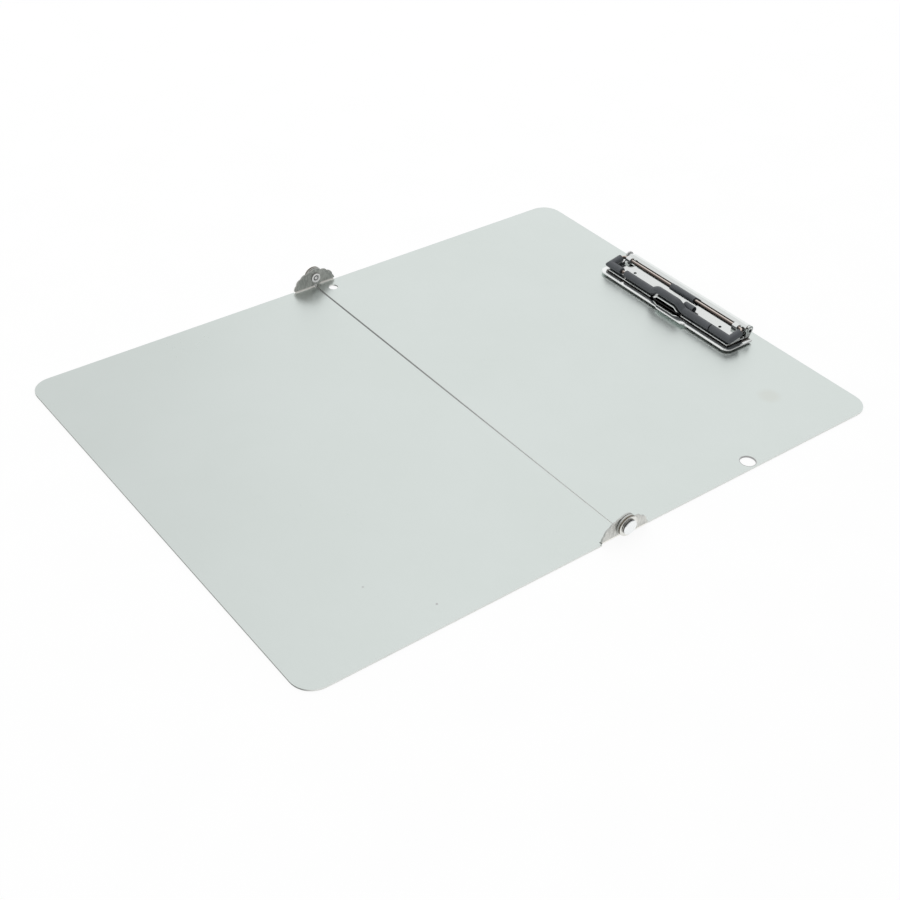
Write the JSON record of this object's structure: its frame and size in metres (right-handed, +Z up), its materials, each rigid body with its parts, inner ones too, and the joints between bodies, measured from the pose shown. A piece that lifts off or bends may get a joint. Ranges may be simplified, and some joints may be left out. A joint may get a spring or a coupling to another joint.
{
  "type": "folding clipboard",
  "caption": "Bare aluminium clipboard in two panels that fold together on raised riveted hinge ears, with a low spring clip opened by a sleeved wire bail.",
  "frame": {"origin": "middle of the underside of the open board, on the fold", "axes": "+X along the open board towards the clip, +Y across the board, +Z up out of the writing face"},
  "size_m": [0.3048, 0.2344, 0.0107],
  "materials": {
    "aluminium_sheet": "fine brushed mill finish",
    "rivet_steel": "zinc plated, satin",
    "chrome_steel": "bright nickel-chrome plate",
    "chrome_wire": "bright nickel-plated wire",
    "spring_steel": "oiled spring wire",
    "nylon": "natural nylon",
    "black_plastic": "satin black sleeve"
  },
  "bodies": {
    "right_board": {"right_panel": "aluminium_sheet", "hinge_rivet_near": "rivet_steel", "hinge_rivet_far": "rivet_steel", "hinge_washer_near": "rivet_steel", "hinge_washer_far": "rivet_steel", "hinge_spacer_near": "nylon", "hinge_spacer_far": "nylon", "clip_base": "chrome_steel", "clip_rivet_left": "rivet_steel", "clip_rivet_right": "rivet_steel"},
    "left_board": {"left_panel": "aluminium_sheet"},
    "jaw": {"jaw_plate": "chrome_steel", "jaw_spring": "spring_steel", "clip_pin_left": "rivet_steel", "clip_pin_right": "rivet_steel"},
    "bail": {"bail_wire": "chrome_wire", "corner_sleeve_left": "black_plastic", "corner_sleeve_right": "black_plastic", "grip_sleeve": "black_plastic", "rear_sleeve": "black_plastic"}
  },
  "joints": [
    {"name": "fold", "type": "hinge", "parent": "right_board", "child": "left_board", "pos_m": [0, 0, 0.0059], "axis": [0, -1, 0], "range_deg": [-176, 0]},
    {"name": "jaw_tilt", "type": "hinge", "parent": "right_board", "child": "jaw", "pos_m": [0.1453, -0.0012, 0.0064], "axis": [0, 1, 0], "range_deg": [0, 20], "stiffness_Nm_per_rad": 0.03, "springref_deg": -28.65},
    {"name": "bail_lift", "type": "hinge", "parent": "jaw", "child": "bail", "pos_m": [0.141, -0.0012, 0.00735], "axis": [0, 1, 0], "range_deg": [0, 90]}
  ],
  "couplings": [
    {"joint": "jaw_tilt", "follows": "bail_lift", "ratio": 0.2222}
  ]
}
